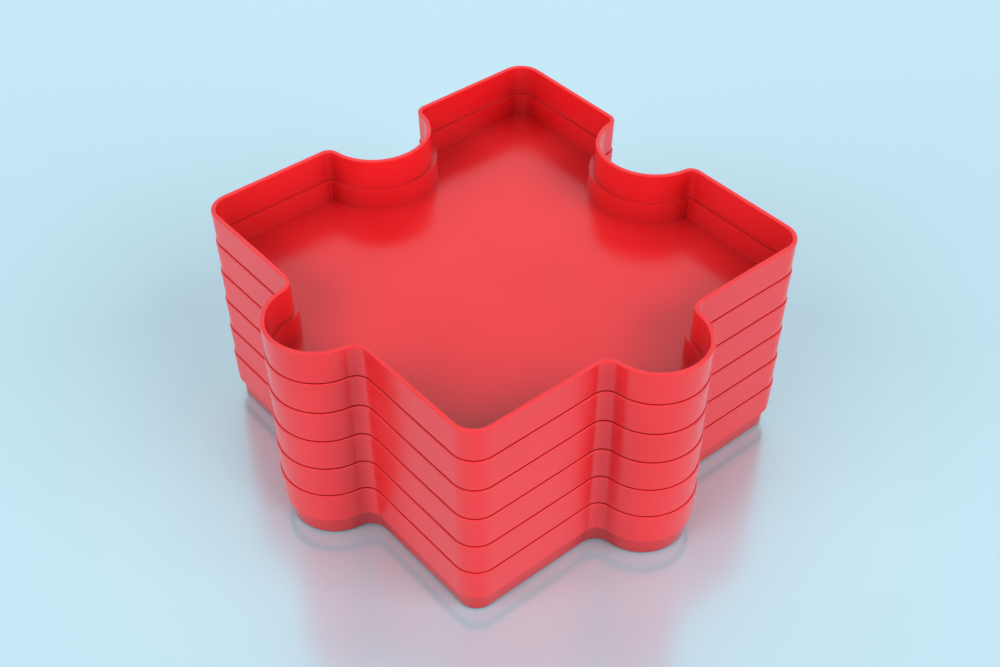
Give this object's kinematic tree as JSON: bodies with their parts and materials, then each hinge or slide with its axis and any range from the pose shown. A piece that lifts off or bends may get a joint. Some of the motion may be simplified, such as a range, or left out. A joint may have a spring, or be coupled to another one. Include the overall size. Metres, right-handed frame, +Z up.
{
  "type": "puzzle sorting tray",
  "caption": "Stack of shallow red trays with a jigsaw piece's outline, which nest on one another and lock together side by side, for sorting loose puzzle pieces.",
  "frame": {"origin": "on the surface that the stack stands on, below the middle of the stack's bounding box", "axes": "+Z up, the way the trays lift off; the tabs point along -Y and +X, and the notches are on the +Y and -X sides"},
  "size_m": [0.205, 0.205, 0.106],
  "materials": {
    "red_plastic": "through-coloured moulded plastic with a satin gloss"
  },
  "bodies": {
    "tray_1": {"tray_1": "red_plastic"},
    "tray_2": {"tray_2": "red_plastic"},
    "tray_3": {"tray_3": "red_plastic"},
    "tray_4": {"tray_4": "red_plastic"},
    "tray_5": {"tray_5": "red_plastic"},
    "tray_6": {"tray_6": "red_plastic"}
  },
  "joints": [
    {"name": "lift_2", "type": "slide", "parent": "tray_1", "child": "tray_2", "axis": [0, 0, 1], "range_m": [0, 0.04]},
    {"name": "lift_3", "type": "slide", "parent": "tray_2", "child": "tray_3", "axis": [0, 0, 1], "range_m": [0, 0.04]},
    {"name": "lift_4", "type": "slide", "parent": "tray_3", "child": "tray_4", "axis": [0, 0, 1], "range_m": [0, 0.04]},
    {"name": "lift_5", "type": "slide", "parent": "tray_4", "child": "tray_5", "axis": [0, 0, 1], "range_m": [0, 0.04]},
    {"name": "lift_6", "type": "slide", "parent": "tray_5", "child": "tray_6", "axis": [0, 0, 1], "range_m": [0, 0.04]}
  ]
}
